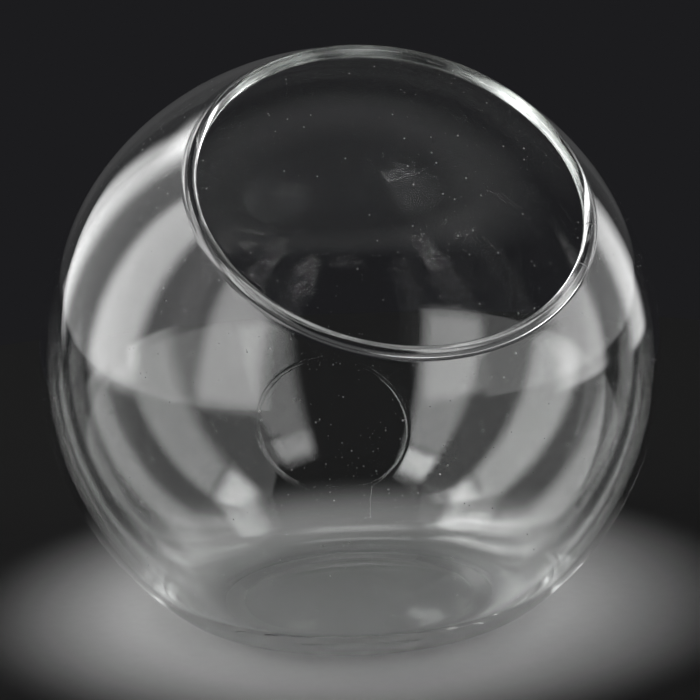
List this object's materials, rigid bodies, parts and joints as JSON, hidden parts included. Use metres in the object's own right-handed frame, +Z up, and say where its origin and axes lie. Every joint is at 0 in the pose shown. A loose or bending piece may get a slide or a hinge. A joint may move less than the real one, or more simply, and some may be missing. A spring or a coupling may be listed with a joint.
{
  "type": "glass terrarium",
  "caption": "Clear blown-glass globe with a flattened base and a wide slanted mouth with a rounded lip, for planting a small indoor garden.",
  "frame": {"origin": "centre of the foot ring, in the plane that the terrarium stands on", "axes": "+Z up from the surface it stands on; the mouth leans towards -Y; the glass is the same on both sides of the X = 0 plane"},
  "size_m": [0.15, 0.1499, 0.1386],
  "materials": {
    "clear_glass": "clear, colourless soda glass, smooth and shiny, with a very faint grey-green tint where it is thick"
  },
  "bodies": {
    "root": {"glass_bowl": "clear_glass"}
  },
  "joints": []
}
